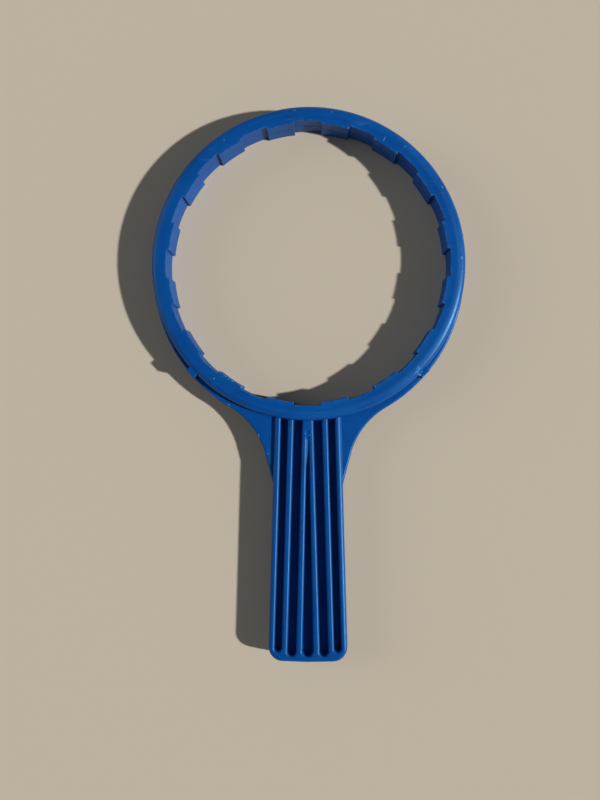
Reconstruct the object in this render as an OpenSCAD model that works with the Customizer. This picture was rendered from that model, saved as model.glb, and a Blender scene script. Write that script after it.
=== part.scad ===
// Filter housing wrench: a toothed ring with a ribbed flat handle, moulded in one piece.
// The ring axis is Z through the origin, the wrench lies on z = 0 and the handle runs along -Y.
// Both faces are alike, mirrored about the middle plane where the mould parts.

/* [Ring] */
// Bore across the tips of the teeth, which sets the size of the ring
tooth_bore = 124; // [110:0.5:150]
// Depth of the recesses between the teeth
recess_depth = 1.3; // [0.6:0.1:2]
// Wall of the ring behind the recesses
ring_wall = 6.7; // [5:0.1:10]
// Height of the ring from face to face
ring_h = 16; // [13:0.5:26]
// Number of teeth, each as wide as a recess
tooth_count = 16; // [8:4:24]
// Rounding of the ring's outer edges
rim_round = 2.6; // [1:0.1:4]

/* [Shoulder] */
// How much smaller than the ring the round shoulder plate is, in radius
plate_inset = 0.2; // [0:0.1:3]
// Shift of the shoulder plate's centre towards the handle
plate_shift = 3.8; // [3:0.1:8]
// Step from each handle face down to the shoulder plate
plate_step = 2; // [1:0.1:3]
// Rounding of the shoulder plate's edges
plate_round = 0.9; // [0.3:0.1:1.2]
// Radius of the concave neck between shoulder and handle
neck_r = 35; // [20:1:50]
// How far the shoulder runs down the handle's side, from the outside of the ring
neck_length = 29; // [24:0.5:40]
// Angle of the straight end of the shoulder to the centre line
neck_angle = 14.7; // [10:0.1:20]

/* [Lugs] */
// Angle of each lug from the handle's centre line
lug_angle = 46.9; // [40:0.1:55]
// Length of a lug along the ring
lug_length = 4.8; // [3:0.1:8]
// How far a lug stands out from the ring
lug_out = 2.1; // [1.5:0.1:4]
// Step from each ring face down to the lugs
lug_step = 1; // [0.5:0.1:3]
// Rounding of the lug's outer edges
lug_round = 0.6; // [0.2:0.1:0.8]

/* [Handle] */
// Reach of the handle's end from the ring axis
handle_reach = 178; // [150:0.1:230]
// Angle by which each half of the handle turns out from the centre line
fan_angle = 1.6; // [0.8:0.1:2.2]
// Distance of the handle's side from the ring axis, square to that side
side_offset = 12.85; // [12.25:0.05:15]
// Step from each ring face down to the handle's faces
handle_step = 2.8; // [0.3:0.1:3.5]
// Radius of the two corners at the handle's end
corner_r = 6.5; // [5:0.1:9]
// Rounding of the handle's outer edges
edge_round = 1.6; // [0.5:0.1:1.8]

/* [Grooves] */
// Width of the groove next to each side wall
outer_groove_w = 3.1; // [2.2:0.1:3.4]
// Width of the groove next to each inner rib
inner_groove_w = 3.8; // [2.6:0.1:4.2]
// Thickness of the side walls
side_wall = 2.75; // [2.35:0.05:3.2]
// Thickness of the rib between those two grooves
rib_w = 2.7; // [2:0.1:3.2]
// Start of the centre groove, from the outside of the ring
centre_start = 8; // [5:0.5:30]
// Width of the centre groove where it starts
centre_start_w = 0.8; // [0.6:0.1:1.4]
// Width of the centre groove at the handle's end
centre_end_w = 4.8; // [3:0.1:5]
// Wall left between the grooves and the handle's end
end_wall = 2.7; // [1.8:0.1:4]
// Web left in the middle plane between the grooves of both faces
web = 2.2; // [1.5:0.1:4]
// How far a groove wall leans in on its way down to the floor
groove_lean = 0.15; // [0:0.05:0.25]
// Rounding of the rib tops, as far as the walls between the grooves leave room for it
rib_round = 1; // [0.2:0.1:1.2]

/* [Gate mark] */
// Diameter of the round mark left where the plastic was injected
gate_d = 2; // [1:0.1:2.4]
// Depth of that mark
gate_depth = 0.3; // [0.1:0.1:0.6]
// Place of that mark, from the outside of the ring
gate_y = 5.2; // [3:0.1:6]

/* [Hidden] */
$fn = 96;
// Overlap that lets cuts run past a face, and lets joined solids share some depth
past = 1;
// Bite of a round into the shapes that it blends with, so that they cross in a clean line
bite = 0.05;

tooth_r = tooth_bore / 2;
ring_r = tooth_r + recess_depth + ring_wall;
plate_r = ring_r - plate_inset;
mid_z = ring_h / 2;
tooth_angle = 180 / tooth_count;

handle_half_h = mid_z - handle_step;
plate_half_h = handle_half_h - plate_step;

// Across each half, counted outwards from the half's own line through the ring axis
outer_groove_x = side_offset - side_wall - outer_groove_w / 2;
inner_groove_x = outer_groove_x - outer_groove_w / 2 - rib_w - inner_groove_w / 2;

// Centre of the corner round, which touches the side and the end of the handle
corner_x = side_offset - corner_r;
corner_y = handle_reach - corner_r;

// Centres of the round ends of the grooves, each end_wall away from the outline
outer_end_gap = corner_r - end_wall - outer_groove_w / 2;
outer_end_y = corner_y + sqrt(max(0, pow(outer_end_gap, 2) - pow(outer_groove_x - corner_x, 2)));
inner_end_y = handle_reach - end_wall - inner_groove_w / 2;
centre_end = handle_reach - end_wall - centre_end_w / 2;
centre_start_y = ring_r + centre_start;
centre_run = centre_end - centre_start_y;
centre_lean = asin((centre_end_w - centre_start_w) / 2 / centre_run);

// Thickness of the inner ribs where the centre groove starts, their thinnest place
inner_groove_wall = (inner_groove_x - inner_groove_w / 2) / cos(fan_angle);
inner_rib_w = inner_groove_wall + centre_start_y * tan(fan_angle) - centre_start_w / 2;
// Rounding of the groove edges, which leaves a narrow flat on each rib and wall
thinnest_rib = min(rib_w, inner_rib_w) / 2;
thinnest_wall = min(side_wall, end_wall) - edge_round;
groove_edge = min(rib_round, thinnest_rib - bite, thinnest_wall - bite);

// Point where the straight end of the shoulder meets the handle's side
neck_end_y = ring_r + neck_length;
neck_end_x = side_offset / cos(fan_angle) + neck_end_y * tan(fan_angle);
// Distance of that straight end from the ring axis, and its run until it is inside the side wall
neck_offset = neck_end_x * cos(neck_angle) + neck_end_y * sin(neck_angle);
neck_run = neck_end_y * cos(neck_angle) - neck_end_x * sin(neck_angle) + side_wall;

// Centre of the neck arc, which touches that straight end and the shoulder disc, counted along the end
plate_x = plate_shift * sin(neck_angle);
plate_y = plate_shift * cos(neck_angle);
neck_x = neck_offset + neck_r - bite;
neck_y = plate_y + sqrt(pow(plate_r + neck_r - bite, 2) - pow(neck_x - plate_x, 2));
// The same centre along the wrench's own axes, and the point of the centre line level with the arc's end
neck_centre = [
    neck_x * cos(neck_angle) - neck_y * sin(neck_angle),
    -neck_x * sin(neck_angle) - neck_y * cos(neck_angle)
];
neck_foot = neck_centre[1] + neck_centre[0] * tan(neck_angle);

// Band from x0 to x1, standing on the middle plane, with its upper outer corner rounded
module rounded_band(x0, x1, height, round) {
    difference() {
        translate([x0, 0])
            square([x1 - x0, height]);
        translate([x1 - round, height - round])
            difference() {
                square(round + past);
                circle(round);
            }
    }
}

// Section of a cut from x0 out to x1, whose upper edge is rounded over at the height top
module cut_section(x0, x1, floor_z, top, round, lean) {
    difference() {
        polygon([
            [x0, floor_z],
            [x1 - lean, floor_z],
            [x1, top - round],
            [x1 + round, top - round],
            [x1 + round, top + past],
            [x0, top + past]
        ]);
        translate([x1 + round, top - round])
            circle(round);
    }
}

// One half of a groove's section, from x0 out to its wall
module groove_section(x0, half_w) {
    cut_section(x0, half_w, web / 2, handle_half_h, groove_edge, groove_lean);
}

// Round end of a groove
module groove_round(half_w) {
    rotate_extrude()
        groove_section(0, half_w + bite);
}

// Straight groove of one half, open towards the ring, with a round end at end_y
module straight_groove(x, width, end_y) {
    translate([x, 0, 0]) {
        rotate([90, 0, 0])
            linear_extrude(end_y) {
                groove_section(0, width / 2);
                mirror([1, 0])
                    groove_section(0, width / 2);
            }
        translate([0, -end_y, 0])
            groove_round(width / 2);
    }
}

// One side of the tapered centre groove, up to the centre line
module centre_groove_side() {
    intersection() {
        translate([0, -centre_start_y, 0])
            rotate([0, 0, centre_lean])
                rotate([90, 0, 0])
                    linear_extrude(centre_run * cos(centre_lean))
                        groove_section(-centre_end_w, centre_start_w / 2);
        translate([0, -handle_reach, 0])
            cube([centre_end_w + past, handle_reach, ring_h]);
    }
}

// Tapered groove on the centre line, round at both ends
module centre_groove() {
    centre_groove_side();
    mirror([1, 0, 0])
        centre_groove_side();
    translate([0, -centre_start_y, 0])
        groove_round(centre_start_w / 2);
    translate([0, -centre_end, 0])
        groove_round(centre_end_w / 2);
}

// The five grooves of a face, which stop at the outside of the ring
module face_grooves() {
    difference() {
        union() {
            for (side = [0, 1])
                mirror([side, 0, 0])
                    rotate([0, 0, fan_angle]) {
                        straight_groove(outer_groove_x, outer_groove_w, outer_end_y);
                        straight_groove(inner_groove_x, inner_groove_w, inner_end_y);
                    }
            centre_groove();
        }
        cylinder(h = ring_h, r = ring_r);
    }
}

// Right side of the handle before it is grooved, cut off at the centre line
module handle_side() {
    intersection() {
        rotate([0, 0, fan_angle]) {
            rotate([90, 0, 0])
                linear_extrude(corner_y)
                    rounded_band(-side_offset, side_offset, handle_half_h, edge_round);
            translate([corner_x, -corner_y, 0]) {
                rotate([0, 0, -90])
                    rotate_extrude(angle = 90)
                        rounded_band(0, corner_r, handle_half_h, edge_round);
                rotate([90, 0, -90])
                    linear_extrude(corner_x + side_offset)
                        rounded_band(0, corner_r, handle_half_h, edge_round);
            }
        }
        translate([0, -handle_reach - past, 0])
            cube([2 * side_offset, handle_reach, ring_h]);
    }
}

// Web of the shoulder plate inside one concave neck arc, with a straight end that runs into the handle
module neck_web() {
    difference() {
        linear_extrude(plate_half_h)
            polygon([[0, -plate_shift], neck_centre, [0, neck_foot]]);
        translate(neck_centre)
            rotate_extrude()
                cut_section(0, neck_r, -past, plate_half_h, plate_round, 0);
    }
    rotate([90, 0, -neck_angle])
        linear_extrude(neck_run)
            rounded_band(neck_offset - side_offset, neck_offset, plate_half_h, plate_round);
}

// Shoulder plate: a disc set towards the handle, with a concave neck on each side
module shoulder_plate() {
    translate([0, -plate_shift, 0])
        rotate_extrude()
            rounded_band(0, plate_r, plate_half_h, plate_round);
    for (side = [0, 1])
        mirror([side, 0, 0])
            neck_web();
}

// Small lug on the outside of the ring where the shoulder runs out
module lug() {
    sweep = lug_length / ring_r * 180 / PI;
    rotate([0, 0, lug_angle - 90 - sweep / 2])
        rotate_extrude(angle = sweep)
            rounded_band(ring_r - ring_wall + past, ring_r + lug_out, mid_z - lug_step, lug_round);
}

// Bore with its teeth: the tip circle, and a recess between each two teeth
module toothed_bore() {
    translate([0, 0, -past])
        cylinder(h = mid_z + 2 * past, r = tooth_r);
    for (i = [0 : tooth_count - 1])
        rotate([0, 0, (2 * i - 0.5) * tooth_angle])
            rotate_extrude(angle = tooth_angle)
                translate([tooth_r - past, -past])
                    square([recess_depth + past, mid_z + 2 * past]);
}

// The body above the middle plane
module upper_half() {
    difference() {
        union() {
            rotate_extrude()
                rounded_band(tooth_r - past, ring_r, mid_z, rim_round);
            shoulder_plate();
            for (side = [0, 1])
                mirror([side, 0, 0]) {
                    lug();
                    handle_side();
                }
        }
        toothed_bore();
        face_grooves();
    }
}

module wrench_body() {
    color("royalblue")
        translate([0, 0, mid_z])
            difference() {
                union() {
                    upper_half();
                    mirror([0, 0, 1])
                        upper_half();
                }
                translate([0, -ring_r - gate_y, handle_half_h - gate_depth])
                    cylinder(h = gate_depth + past, d = gate_d);
            }
}

wrench_body();
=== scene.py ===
"""Looks of a filter housing wrench in satin blue plastic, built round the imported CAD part.

The frame is the part's own: metres, the ring's axis up through the origin, the handle towards -Y.
"""

import math
import random

import bmesh
import bpy
from mathutils import Matrix, Vector


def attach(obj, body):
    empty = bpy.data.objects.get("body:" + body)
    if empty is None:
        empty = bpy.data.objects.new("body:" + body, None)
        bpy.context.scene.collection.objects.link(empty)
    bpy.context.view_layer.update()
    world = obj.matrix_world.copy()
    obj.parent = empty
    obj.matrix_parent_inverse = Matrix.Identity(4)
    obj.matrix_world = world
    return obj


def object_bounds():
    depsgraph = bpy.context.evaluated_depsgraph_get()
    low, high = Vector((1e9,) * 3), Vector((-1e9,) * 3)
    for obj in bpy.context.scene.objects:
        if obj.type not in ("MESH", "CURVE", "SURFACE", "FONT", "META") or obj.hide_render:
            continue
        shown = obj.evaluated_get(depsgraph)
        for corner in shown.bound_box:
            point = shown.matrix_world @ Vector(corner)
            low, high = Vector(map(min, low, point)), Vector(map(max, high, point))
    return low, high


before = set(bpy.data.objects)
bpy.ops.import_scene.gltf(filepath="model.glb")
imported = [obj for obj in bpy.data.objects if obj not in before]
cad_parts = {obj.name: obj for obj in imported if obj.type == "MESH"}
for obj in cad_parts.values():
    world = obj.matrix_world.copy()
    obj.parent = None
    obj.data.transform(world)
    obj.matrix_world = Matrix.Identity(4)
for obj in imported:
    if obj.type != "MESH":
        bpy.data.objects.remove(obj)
cad_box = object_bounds()
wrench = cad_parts["wrench_body"]
scene = bpy.context.scene

MM = 0.001

# Sizes of the CAD part that the added detail follows
RING_RADIUS = cad_box[1][0]
RING_HEIGHT = cad_box[1][2]
MID_PLANE = RING_HEIGHT / 2
RIM_ROUND = 2.6 * MM
LUG_TOP = RING_HEIGHT - 1.0 * MM
HANDLE_TOP = RING_HEIGHT - 2.8 * MM
WEB_TOP = MID_PLANE + 1.1 * MM
GATE_Y = -RING_RADIUS - 5.2 * MM

# Centre groove: place of its narrow end, half its width there, and how much that grows along the groove
GROOVE_START = -RING_RADIUS - 8.0 * MM
GROOVE_HALF = 0.4 * MM
GROOVE_SPREAD = 0.0211

# Colours, linear
BLUE = (0.0003, 0.065, 0.293, 1)
BLUE_DEEP = (0.0002, 0.056, 0.264, 1)
BLUE_PALE = (0.0004, 0.076, 0.330, 1)
BLUE_WORN = (0.045, 0.200, 0.500, 1)
BLUE_TORN = (0.130, 0.380, 0.760, 1)
# Deep blue painted into the narrow inner corners as shade
CORNER_SHADE = (0.006, 0.020, 0.060, 1)
SHEEN_TINT = (0.36, 0.79, 1.0, 1)
FLOOR = (0.56, 0.49, 0.39, 1)
BACKDROP = (0.55, 0.485, 0.395, 1)
SURROUND = (0.92, 0.96, 1.0, 1)
KEY_LIGHT = (1.0, 0.985, 0.96)
FILL_LIGHT = (0.86, 0.93, 1.0)

# Knocks on the ring, in mm and degrees: angle from +X, radius, length, width, turn from the rim's line
RING_KNOCKS = [
    (73.2, 62.3, 0.9, 0.5, 40),
    (50.5, 62.4, 0.6, 0.3, 40),
    (226.7, 62.2, 0.7, 0.4, 5),
    (233.7, 62.2, 1.0, 0.4, -10),
    (235.7, 62.3, 0.7, 0.4, 15),
    (237.6, 62.2, 0.9, 0.4, 0),
    (242.4, 62.4, 0.9, 0.5, 30),
    (81.0, 67.7, 0.8, 0.3, 5),
    (94.9, 67.9, 1.4, 0.25, -4),
    (124.2, 66.2, 0.9, 0.4, 60),
    (58.2, 64.4, 2.4, 0.25, 90),
    (50.0, 66.9, 0.7, 0.4, 30),
    (29.3, 68.0, 1.2, 0.6, 12),
    (1.7, 67.9, 1.5, 0.7, 0),
    (-3.4, 68.3, 0.8, 0.4, 0),
    (231.0, 66.0, 0.8, 0.3, 70),
    (-44.5, 68.2, 6.0, 0.3, 0),
]
RING_KNOCK_HEIGHT = 0.16

# Flake in the notch below the right lug, and two rubs on the left edge of the shoulder plate,
# in mm and degrees: place, turn from +X, length, width, height
SHOULDER_KNOCKS = [
    ((49.7, -50.1, 12.0), 45, 2.2, 1.2, 0.9),
    ((-35.6, -62.9, 11.1), -43, 1.0, 0.5, 0.16),
    ((-22.2, -76.6, 11.1), -60, 1.8, 0.3, 0.12),
]


class Nodes:
    """Adds nodes to one node tree and joins them."""

    def __init__(self, tree):
        self.tree = tree
        tree.nodes.clear()

    def add(self, kind, inputs=None, **settings):
        """New node, each of its inputs joined to a socket or set to a value."""
        node = self.tree.nodes.new("ShaderNode" + kind)
        for name, value in settings.items():
            setattr(node, name, value)
        for name, value in (inputs or {}).items():
            if isinstance(value, bpy.types.NodeSocket):
                self.tree.links.new(value, node.inputs[name])
            else:
                node.inputs[name].default_value = value
        return node

    def noise(self, vector, scale, detail=2.0, rough=0.5):
        """Soft random pattern, from 0 to 1 and mostly near 0.5."""
        values = {"Vector": vector, "Scale": scale, "Detail": detail, "Roughness": rough}
        return self.add("TexNoise", values).outputs[0]

    def ramp(self, value, low, high, to_low=0.0, to_high=1.0):
        """Value moved from one range to another and held at its ends. Low above high turns it round."""
        values = {"Value": value, "From Min": low, "From Max": high, "To Min": to_low, "To Max": to_high}
        return self.add("MapRange", values).outputs[0]

    def smooth(self, value, low, high):
        """Ramp from 0 to 1 with rounded ends."""
        values = {"Value": value, "From Min": low, "From Max": high}
        return self.add("MapRange", values, interpolation_type="SMOOTHSTEP").outputs[0]

    def math(self, operation, a, b):
        return self.add("Math", {0: a, 1: b}, operation=operation).outputs[0]

    def tint(self, share, under, over):
        """Colour laid over another, by a share from 0 to 1. Sockets 6, 7 and 2 are the node's colours."""
        return self.add("Mix", {0: share, 6: under, 7: over}, data_type="RGBA").outputs[2]

    def principled(self, values, patterns):
        """Finished surface: plain values on the shader, then the sockets that a pattern drives."""
        shader = self.add("BsdfPrincipled", values)
        for name, pattern in patterns.items():
            self.tree.links.new(pattern, shader.inputs[name])
        self.add("OutputMaterial", {"Surface": shader.outputs[0]})


def new_material(name):
    """Empty material and the maker of its nodes."""
    mat = bpy.data.materials.new(name)
    mat.use_nodes = True
    return mat, Nodes(mat.node_tree)


def axis_distance(n, place):
    """Distance from the ring's axis."""
    level = n.add("VectorMath", {0: place, 1: (1, 1, 0)}, operation="MULTIPLY").outputs[0]
    return n.add("VectorMath", {0: level}, operation="LENGTH").outputs["Value"]


def scratch_lines(n, place, turn, seed):
    """Thin lines about 15 mm long that run one way, broken up so that few are left."""
    values = {
        "Vector": place,
        "Location": (seed, seed, 0),
        "Rotation": (0, 0, turn),
        "Scale": (70, 2600, 200),
    }
    stretched = n.add("Mapping", values).outputs[0]
    lines = n.ramp(n.noise(stretched, scale=1.0, detail=1.0), low=0.66, high=0.72)
    patches = n.ramp(n.noise(place, scale=55.0 + seed), low=0.52, high=0.64)
    return n.math("MULTIPLY", lines, patches)


def rim_streaks_and_sheen(n, place, radius):
    """Mask of the rubbed streaks that run round the outer edges of the ring's faces; its pale tint is
    also a painted sheen along the band where the rim's highlight falls.
    """
    scale_along = 30.0
    scale_across = 2600.0
    starts = n.ramp(radius, low=RING_RADIUS - 4.4 * MM, high=RING_RADIUS - 3.2 * MM)
    ends = n.ramp(radius, low=RING_RADIUS - 0.3 * MM, high=RING_RADIUS - 0.9 * MM)
    split = n.add("SeparateXYZ", {0: place})
    slow_x = n.math("MULTIPLY", split.outputs["X"], scale_along)
    slow_y = n.math("MULTIPLY", split.outputs["Y"], scale_along)
    across = n.math("MULTIPLY", radius, scale_across)
    wander = n.add("CombineXYZ", {0: across, 1: slow_x, 2: slow_y}).outputs[0]
    lines = n.ramp(n.noise(wander, scale=1.0, detail=3.0, rough=0.6), low=0.42, high=0.62)
    return n.math("MULTIPLY", n.math("MULTIPLY", starts, ends), lines)


def rim_band(n, radius):
    """Mask of the ring's outer edge, which use has smoothed."""
    starts = n.ramp(radius, low=RING_RADIUS - 3.0 * MM, high=RING_RADIUS - 2.2 * MM)
    ends = n.ramp(radius, low=RING_RADIUS + 1.0 * MM, high=RING_RADIUS + 0.4 * MM)
    return n.math("MULTIPLY", starts, ends)


def bore_walls(n, radius):
    """Mask of the ring's inside, which is a little rougher."""
    return n.ramp(radius, low=RING_RADIUS - 6.0 * MM, high=RING_RADIUS - 6.4 * MM)


def worn_edges(n, fine):
    """Mask of the convex edges, broken up by the fine noise."""
    inside = n.add("AmbientOcclusion", {"Distance": 1.1 * MM}, inside=True, only_local=True, samples=12)
    edge = n.ramp(inside.outputs["AO"], low=0.80, high=0.52)
    return n.math("MULTIPLY", edge, n.ramp(fine, low=0.42, high=0.62))


def painted_corner_shade(n, fine):
    """Mask of the narrow inner corners, which the material darkens as painted shade."""
    open_sky = n.add("AmbientOcclusion", {"Distance": 4.5 * MM}, only_local=True, samples=8)
    corner = n.ramp(open_sky.outputs["AO"], low=0.55, high=0.2)
    return n.math("MULTIPLY", corner, n.ramp(fine, low=0.35, high=0.6, to_low=0.1, to_high=0.6))


def eased_normal(n, radius):
    """Normal with the sharp edges eased, and the rim falling off a little before its round."""
    eased = n.add("Bevel", {"Radius": 0.3 * MM}, samples=6).outputs[0]
    falls = n.smooth(radius, low=RING_RADIUS - 4.2 * MM, high=RING_RADIUS - 1.6 * MM)
    slope = {"Strength": 1.0, "Distance": -0.28 * MM, "Height": falls, "Normal": eased}
    return n.add("Bump", slope).outputs[0]


def moulded_grain(n, place, scratches, streaks_and_sheen, normal):
    """Normal of the moulded skin, with the scratches and streaks sunk into its grain."""
    scratch_depth = 0.8
    streak_share = 0.7
    grain = n.noise(place, scale=1900.0, detail=3.0, rough=0.6)
    marks = n.math("ADD", scratches, n.math("MULTIPLY", streaks_and_sheen, streak_share))
    height = n.math("SUBTRACT", grain, n.math("MULTIPLY", marks, scratch_depth))
    bump = {"Strength": 0.16, "Distance": 0.09 * MM, "Height": height, "Normal": normal}
    return n.add("Bump", bump).outputs[0]


def plastic_material():
    """Satin blue plastic, cloudy, finely scratched, rubbed at the rim with a painted sheen along its
    highlight, worn at the edges and darkened in narrow corners as painted shade.
    """
    mat, n = new_material("blue_plastic")
    place = n.add("TexCoord").outputs["Object"]
    radius = axis_distance(n, place)
    cloud = n.ramp(n.noise(place, scale=48.0, detail=4.0, rough=0.6), low=0.3, high=0.7)
    fine = n.noise(place, scale=420.0, detail=3.0, rough=0.65)
    one_way = scratch_lines(n, place, turn=0.5, seed=3.0)
    other_way = scratch_lines(n, place, turn=2.0, seed=11.0)
    scratches = n.math("MAXIMUM", one_way, other_way)
    streaks_and_sheen = rim_streaks_and_sheen(n, place, radius)
    edge = worn_edges(n, fine)

    # How much of each colour a mask lays over the cloudy blue
    colour = n.tint(cloud, BLUE_DEEP, BLUE_PALE)
    # Painted shade: the narrow inner corners darkened towards the deep blue.
    colour = n.tint(painted_corner_shade(n, fine), colour, CORNER_SHADE)
    # The rim streaks' small pale share is partly rubbed wear and partly a painted sheen along the rim's
    # highlight band.
    for mask, share in ((scratches, 0.35), (streaks_and_sheen, 0.08), (edge, 0.5)):
        colour = n.tint(n.math("MULTIPLY", mask, share), colour, BLUE_WORN)

    # How much rougher or smoother a mask makes the skin
    rim = rim_band(n, radius)
    bore = bore_walls(n, radius)
    roughness = n.ramp(fine, low=0.3, high=0.7, to_low=0.36, to_high=0.44)
    for mask, change in ((rim, -0.07), (bore, 0.10), (streaks_and_sheen, 0.10), (scratches, 0.2), (edge, 0.12)):
        roughness = n.math("ADD", roughness, n.math("MULTIPLY", mask, change))

    normal = moulded_grain(n, place, scratches, streaks_and_sheen, eased_normal(n, radius))
    values = {
        "Base Color": BLUE,
        "Roughness": 0.40,
        "Specular IOR Level": 0.43,
        "Specular Tint": SHEEN_TINT,
    }
    n.principled(values, {"Base Color": colour, "Roughness": roughness, "Normal": normal})
    return mat


def worn_material():
    """Plastic torn up by knocks, paler than the moulded skin."""
    mat, n = new_material("scuffed_plastic")
    place = n.add("TexCoord").outputs["Object"]
    cloud = n.ramp(n.noise(place, scale=2400.0, detail=3.0), low=0.35, high=0.65)
    colour = n.tint(cloud, BLUE_WORN, BLUE_TORN)
    bump = n.add("Bump", {"Strength": 0.4, "Distance": 0.1 * MM, "Height": cloud})
    values = {
        "Base Color": BLUE_TORN,
        "Roughness": 0.42,
        "Specular IOR Level": 0.5,
        "Specular Tint": SHEEN_TINT,
    }
    n.principled(values, {"Base Color": colour, "Normal": bump.outputs[0]})
    return mat


def floor_material():
    """Plain matt floor."""
    mat, n = new_material("pale_floor")
    n.principled({"Base Color": FLOOR, "Roughness": 0.9, "Specular IOR Level": 0.1}, {})
    return mat


PLASTIC = plastic_material()
SCUFFED = worn_material()


def dress_wrench():
    """Gives the CAD part its plastic."""
    wrench.data.materials.clear()
    wrench.data.materials.append(PLASTIC)


def place_piece(name, mesh, mat):
    """Adds a finished mesh as a piece of the wrench."""
    obj = bpy.data.objects.new(name, mesh)
    scene.collection.objects.link(obj)
    mesh.materials.clear()
    mesh.materials.append(mat)
    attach(obj, "root")


def place_work(name, work, mat):
    """Adds what was built in a bmesh as a piece of the wrench."""
    mesh = bpy.data.meshes.new(name)
    work.to_mesh(mesh)
    work.free()
    place_piece(name, mesh, mat)


def level_outlines(obj, height):
    """Closed outlines of a mesh cut level at a height, each a list of points."""
    same_place = 1e-6
    work = bmesh.new()
    work.from_mesh(obj.data)
    bmesh.ops.remove_doubles(work, verts=work.verts, dist=same_place)
    everything = work.verts[:] + work.edges[:] + work.faces[:]
    plane = {"plane_co": (0, 0, height), "plane_no": (0, 0, 1)}
    cut = bmesh.ops.bisect_plane(work, geom=everything, dist=same_place, **plane)
    left = dict.fromkeys(e for e in cut["geom_cut"] if isinstance(e, bmesh.types.BMEdge))
    outlines = []
    while left:
        edge = next(iter(left))
        del left[edge]
        start, vert = edge.verts
        points = [start.co.copy()]
        while vert is not start:
            points.append(vert.co.copy())
            edge = next((e for e in vert.link_edges if e in left), None)
            if edge is None:
                break
            del left[edge]
            vert = edge.other_vert(vert)
        outlines.append(points)
    work.free()
    return outlines


def parting_line(radius):
    """Fine ridge round the middle plane, where the two halves of the mould met."""
    curve = bpy.data.curves.new("parting_line", "CURVE")
    curve.dimensions = "3D"
    curve.bevel_depth = radius
    curve.bevel_resolution = 1
    for points in level_outlines(wrench, MID_PLANE):
        spline = curve.splines.new("POLY")
        spline.points.add(len(points) - 1)
        for point, co in zip(spline.points, points):
            point.co = (*co, 1)
        spline.use_cyclic_u = True
    tube = bpy.data.objects.new("parting_line_curve", curve)
    mesh = bpy.data.meshes.new_from_object(tube)
    bpy.data.objects.remove(tube)
    mesh.name = "parting_line"
    place_piece("parting_line", mesh, PLASTIC)


def run_out_section(along, depth, hollow, buried):
    """Outline of the groove's slope across the handle, above and below the middle plane."""
    points = 15
    least_depth = 0.3 * MM
    half = GROOVE_HALF + GROOVE_SPREAD * along + buried
    upper = []
    for point in range(points):
        x = half * (2 * point / (points - 1) - 1)
        hollowed = depth - x ** 2 / (2 * hollow)
        upper.append((x, GROOVE_START - along, HANDLE_TOP - max(hollowed, least_depth)))
    lower = [(x, y, RING_HEIGHT - z) for x, y, z in reversed(upper)]
    return upper + lower


def groove_run_out(run, shallow, hollow, buried):
    """Hollow slope on which the centre groove of both faces rises to its narrow end.

    The slope's sides and its upper end are buried in the ribs.
    """
    sections = 16
    rise = (HANDLE_TOP - WEB_TOP - shallow) / run
    work = bmesh.new()
    rings = []
    for section in range(sections + 1):
        along = (run + buried) * section / sections - buried
        outline = run_out_section(along, shallow + rise * along, hollow, buried)
        rings.append([work.verts.new(co) for co in outline])
    for ring, following in zip(rings, rings[1:]):
        for i in range(len(ring)):
            work.faces.new((ring[i - 1], ring[i], following[i], following[i - 1]))
    work.faces.new(rings[0])
    work.faces.new(rings[-1])
    bmesh.ops.recalc_face_normals(work, faces=work.faces)
    for face in work.faces:
        face.smooth = True
    place_work("groove_run_out", work, PLASTIC)


def rim_point(angle, radius, floor=0.0):
    """Point of the ring's upper face at an angle from +X, on the flat, its outer round or a lug."""
    a = math.radians(angle)
    over = min(max(0.0, radius - (RING_RADIUS - RIM_ROUND)), RIM_ROUND)
    drop = RIM_ROUND - math.sqrt(RIM_ROUND ** 2 - over ** 2)
    height = max(floor, RING_HEIGHT - drop)
    return Vector((radius * math.cos(a), radius * math.sin(a), height))


def add_burr(work, place, turn, size, dice):
    """Small torn-up fleck of plastic, half sunk in the wrench's surface at the point nearest to a place.

    The turn is in degrees from +X, and the size is the fleck's length, width and height in mm.
    """
    unevenness = 0.25
    length, width, height = Vector(size) * MM
    turned = Matrix.Rotation(math.radians(turn), 4, "Z")
    _, centre, _, _ = wrench.closest_point_on_mesh(place)
    made = bmesh.ops.create_icosphere(work, subdivisions=2, radius=1.0)["verts"]
    for vert in made:
        ragged = 1 + dice.uniform(-unevenness, unevenness)
        shape = Vector((vert.co.x * length / 2, vert.co.y * width / 2, vert.co.z * height))
        vert.co = centre + turned @ (shape * ragged)


def ring_knocks(work, dice):
    """Single knocks on the rim and the teeth, and the rub across the right lug."""
    for angle, radius, length, width, turn in RING_KNOCKS:
        place = rim_point(angle, radius * MM)
        add_burr(work, place, angle + 90 + turn, (length, width, RING_KNOCK_HEIGHT), dice)


def chewed_lug(work, dice):
    """Patch of flecks on the right lug and the rim beside it."""
    flecks = 22
    middle = -44.3
    width = 0.4
    for _ in range(flecks):
        angle = middle + dice.uniform(-1.2, 1.2)
        radius = dice.uniform(66.8, 70.5)
        length = dice.uniform(0.3, 0.9)
        turn = dice.uniform(-50, 50)
        height = dice.uniform(0.10, 0.24)
        place = rim_point(angle, radius * MM, LUG_TOP)
        add_burr(work, place, angle + 90 + turn, (length, width, height), dice)


def torn_gate(work, dice):
    """Flecks round the gate mark, on the side towards the groove."""
    flecks = 9
    width = 0.2
    height = 0.12
    for _ in range(flecks):
        side = dice.uniform(170, 370)
        reach = dice.uniform(1.1, 1.7) * MM
        length = dice.uniform(0.3, 0.5)
        a = math.radians(side)
        place = Vector((reach * math.cos(a), GATE_Y + reach * math.sin(a), HANDLE_TOP))
        add_burr(work, place, side, (length, width, height), dice)


def shoulder_knocks(work, dice):
    """Flake below the right lug and rubs on the edge of the shoulder plate."""
    for place, turn, *size in SHOULDER_KNOCKS:
        add_burr(work, Vector(place) * MM, turn, size, dice)


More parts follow.
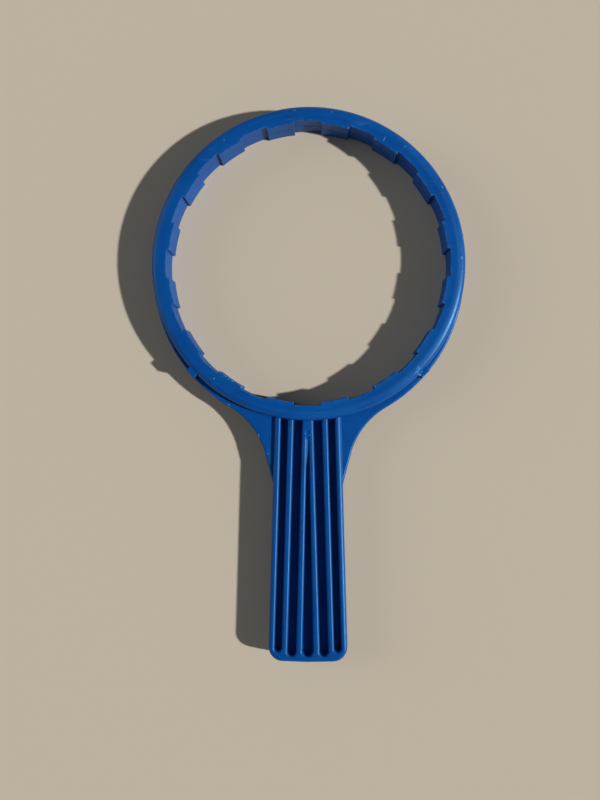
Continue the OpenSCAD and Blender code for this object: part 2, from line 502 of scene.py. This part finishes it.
def rim_burrs():
    """All the flecks that knocks and wear have left, as one piece."""
    dice = random.Random(7)
    work = bmesh.new()
    ring_knocks(work, dice)
    chewed_lug(work, dice)
    torn_gate(work, dice)
    shoulder_knocks(work, dice)
    place_work("rim_burrs", work, SCUFFED)


def studio_floor(size):
    """Plain pale floor, which isn't part of the object."""
    bpy.ops.mesh.primitive_plane_add(size=size, location=(0, 0, 0))
    floor = bpy.context.object
    floor.name = "floor"
    floor.data.materials.append(floor_material())


def far_lamp(name, azimuth, elevation, spread, strength, colour):
    """Round lamp far away, so that its light is even all over the floor. Azimuth counts from +X."""
    a = math.radians(azimuth)
    e = math.radians(elevation)
    back = Vector((math.cos(a) * math.cos(e), math.sin(a) * math.cos(e), math.sin(e)))
    data = bpy.data.lights.new(name, "SUN")
    data.angle = math.radians(spread)
    data.energy = strength
    data.color = colour
    lamp = bpy.data.objects.new(name, data)
    lamp.location = back
    lamp.rotation_mode = "QUATERNION"
    lamp.rotation_quaternion = (-back).to_track_quat("-Z", "Y")
    scene.collection.objects.link(lamp)


def studio_world(level, overhead):
    """Pale surround, weaker overhead, with a plain backdrop where the camera looks past the floor."""
    world = bpy.data.worlds.new("studio")
    world.use_nodes = True
    n = Nodes(world.node_tree)
    upward = n.add("SeparateXYZ", {0: n.add("TexCoord").outputs["Generated"]}).outputs["Z"]
    strength = n.ramp(upward, low=0.2, high=0.9, to_low=level, to_high=overhead)
    surround = n.add("Background", {"Color": SURROUND, "Strength": strength})
    backdrop = n.add("Background", {"Color": BACKDROP, "Strength": 1.0})
    path = n.add("LightPath")
    values = {0: path.outputs["Is Camera Ray"], 1: surround.outputs[0], 2: backdrop.outputs[0]}
    mix = n.add("MixShader", values)
    n.add("OutputWorld", {"Surface": mix.outputs[0]})
    scene.world = world


def camera_at(eye, aim, lens):
    """Camera with the handle's direction upright in the picture."""
    data = bpy.data.cameras.new("camera")
    data.lens = lens
    data.sensor_width = 36
    camera = bpy.data.objects.new("camera", data)
    forward = (aim - eye).normalized()
    side = forward.cross(Vector((0, 1, 0))).normalized()
    up = side.cross(forward)
    camera.location = eye
    camera.rotation_mode = "QUATERNION"
    camera.rotation_quaternion = Matrix((side, up, -forward)).transposed().to_quaternion()
    scene.collection.objects.link(camera)
    scene.camera = camera


# The wrench and the detail on it
dress_wrench()
parting_line(radius=0.13 * MM)
groove_run_out(run=36 * MM, shallow=0.5 * MM, hollow=1.0 * MM, buried=1.0 * MM)
rim_burrs()

# Studio: a pale floor, one clear key light from the right, a weak fill and a soft surround
studio_floor(size=30)
far_lamp("key", azimuth=-10.9, elevation=37.1, spread=2.2, strength=3.8, colour=KEY_LIGHT)
far_lamp("fill", azimuth=168, elevation=26, spread=37, strength=0.58, colour=FILL_LIGHT)
studio_world(level=0.22, overhead=0.05)
camera_at(eye=Vector((7.2, -61.9, 384.8)) * MM, aim=Vector((-3.4, -60.8, 16.0)) * MM, lens=37.47)
scene.view_settings.view_transform = "Standard"
